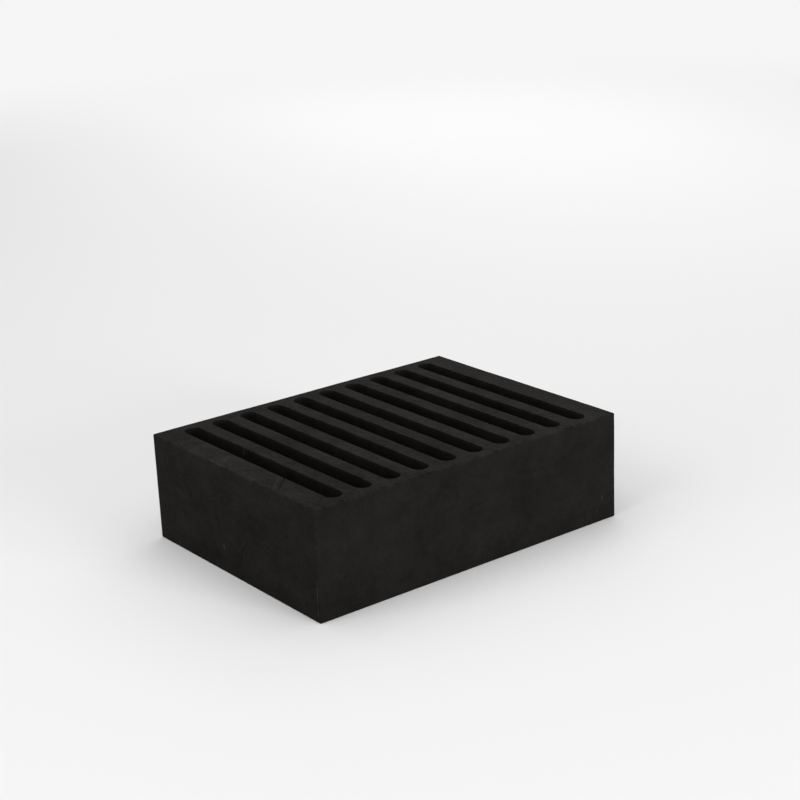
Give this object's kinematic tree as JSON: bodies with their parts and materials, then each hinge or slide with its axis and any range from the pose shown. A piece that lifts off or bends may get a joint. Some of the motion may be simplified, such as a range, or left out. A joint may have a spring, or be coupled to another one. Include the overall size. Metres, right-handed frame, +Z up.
{
  "type": "slotted foam plate rack",
  "caption": "Low oblong block of firm black foam with a row of deep round-ended slots across its top, which hold plates upright side by side.",
  "frame": {"origin": "middle of the block's underside", "axes": "+X along the row of slots (the block's length), +Y along each slot (its depth), +Z up, out of the slots' mouths"},
  "size_m": [0.333, 0.25, 0.1],
  "materials": {
    "foam": "near-black closed-cell polyethylene foam, cut faces with a fine dull skin of cells"
  },
  "bodies": {
    "root": {"base_sheet": "foam", "lower_slotted_sheet": "foam", "upper_slotted_sheet": "foam"}
  },
  "joints": []
}
